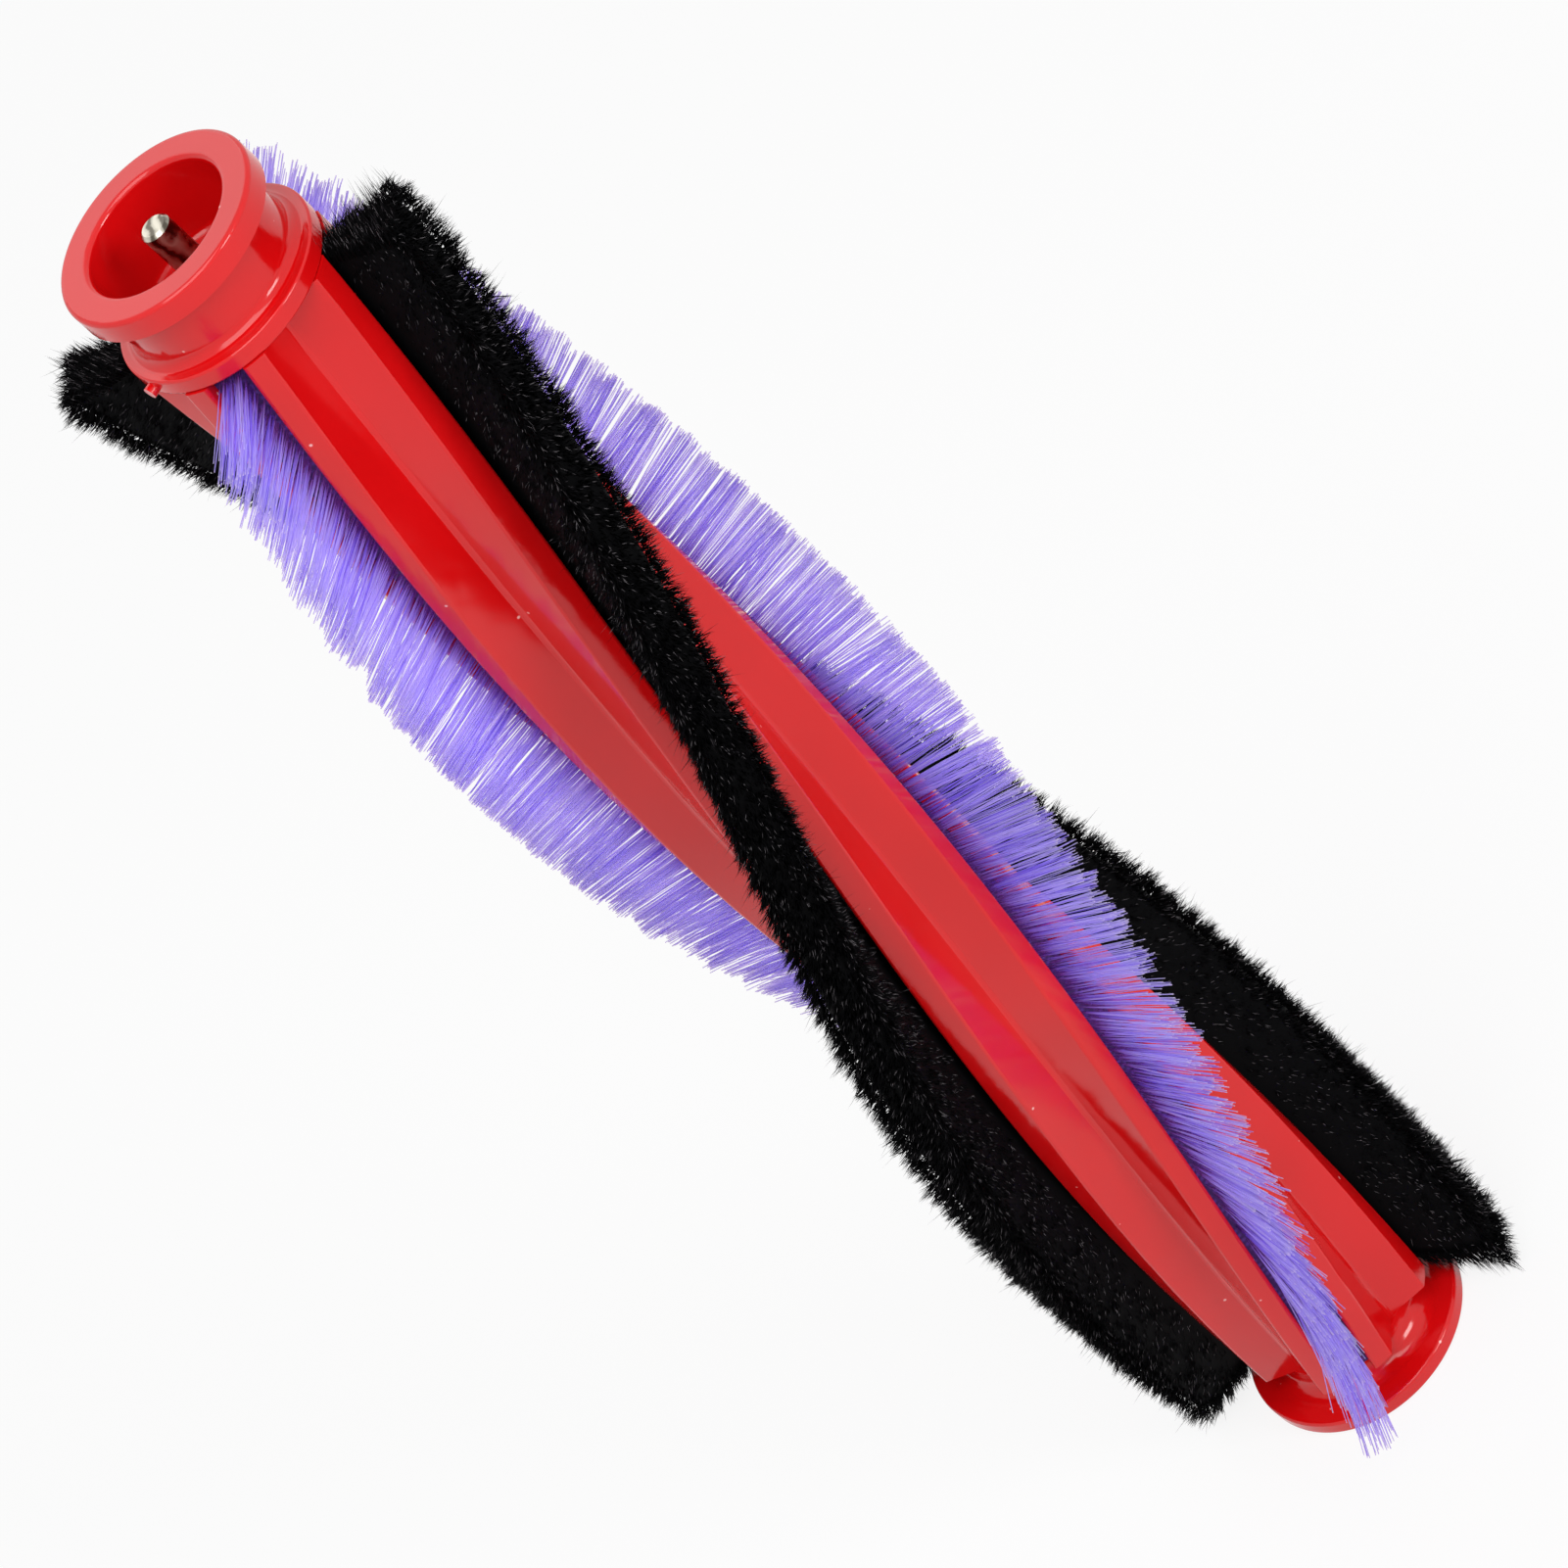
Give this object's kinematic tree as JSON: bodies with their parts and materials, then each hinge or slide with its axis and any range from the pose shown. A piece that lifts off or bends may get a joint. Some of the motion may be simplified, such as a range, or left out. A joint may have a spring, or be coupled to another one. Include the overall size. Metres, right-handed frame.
{
  "type": "vacuum roller brush",
  "caption": "Vacuum roller brush with a glossy red helical core, black plush and lavender nylon bristle strips, a bearing cup around a steel pin and a flanged drive end.",
  "frame": {"origin": "centre of the drive disc's outer face, on the roller's axis", "axes": "+Z along the roller's axis from the drive disc to the bearing cup; +X through the first black strip at the foot of the core"},
  "size_m": [0.0444, 0.0444, 0.225],
  "materials": {
    "red_plastic": "glossy moulded",
    "steel": "drawn",
    "backing": "woven and bonded",
    "black_fibre": "dense pile",
    "purple_nylon": "stiff filaments"
  },
  "bodies": {
    "root": {"roller_core": "red_plastic", "bearing_end_cap": "red_plastic", "drive_end_cap": "red_plastic", "axle_pin": "steel", "black_backing_1": "backing", "black_backing_2": "backing", "purple_backing_1": "backing", "purple_backing_2": "backing", "black_pile_1": "black_fibre", "black_pile_2": "black_fibre", "purple_pile_1": "purple_nylon", "purple_pile_2": "purple_nylon"}
  },
  "joints": []
}
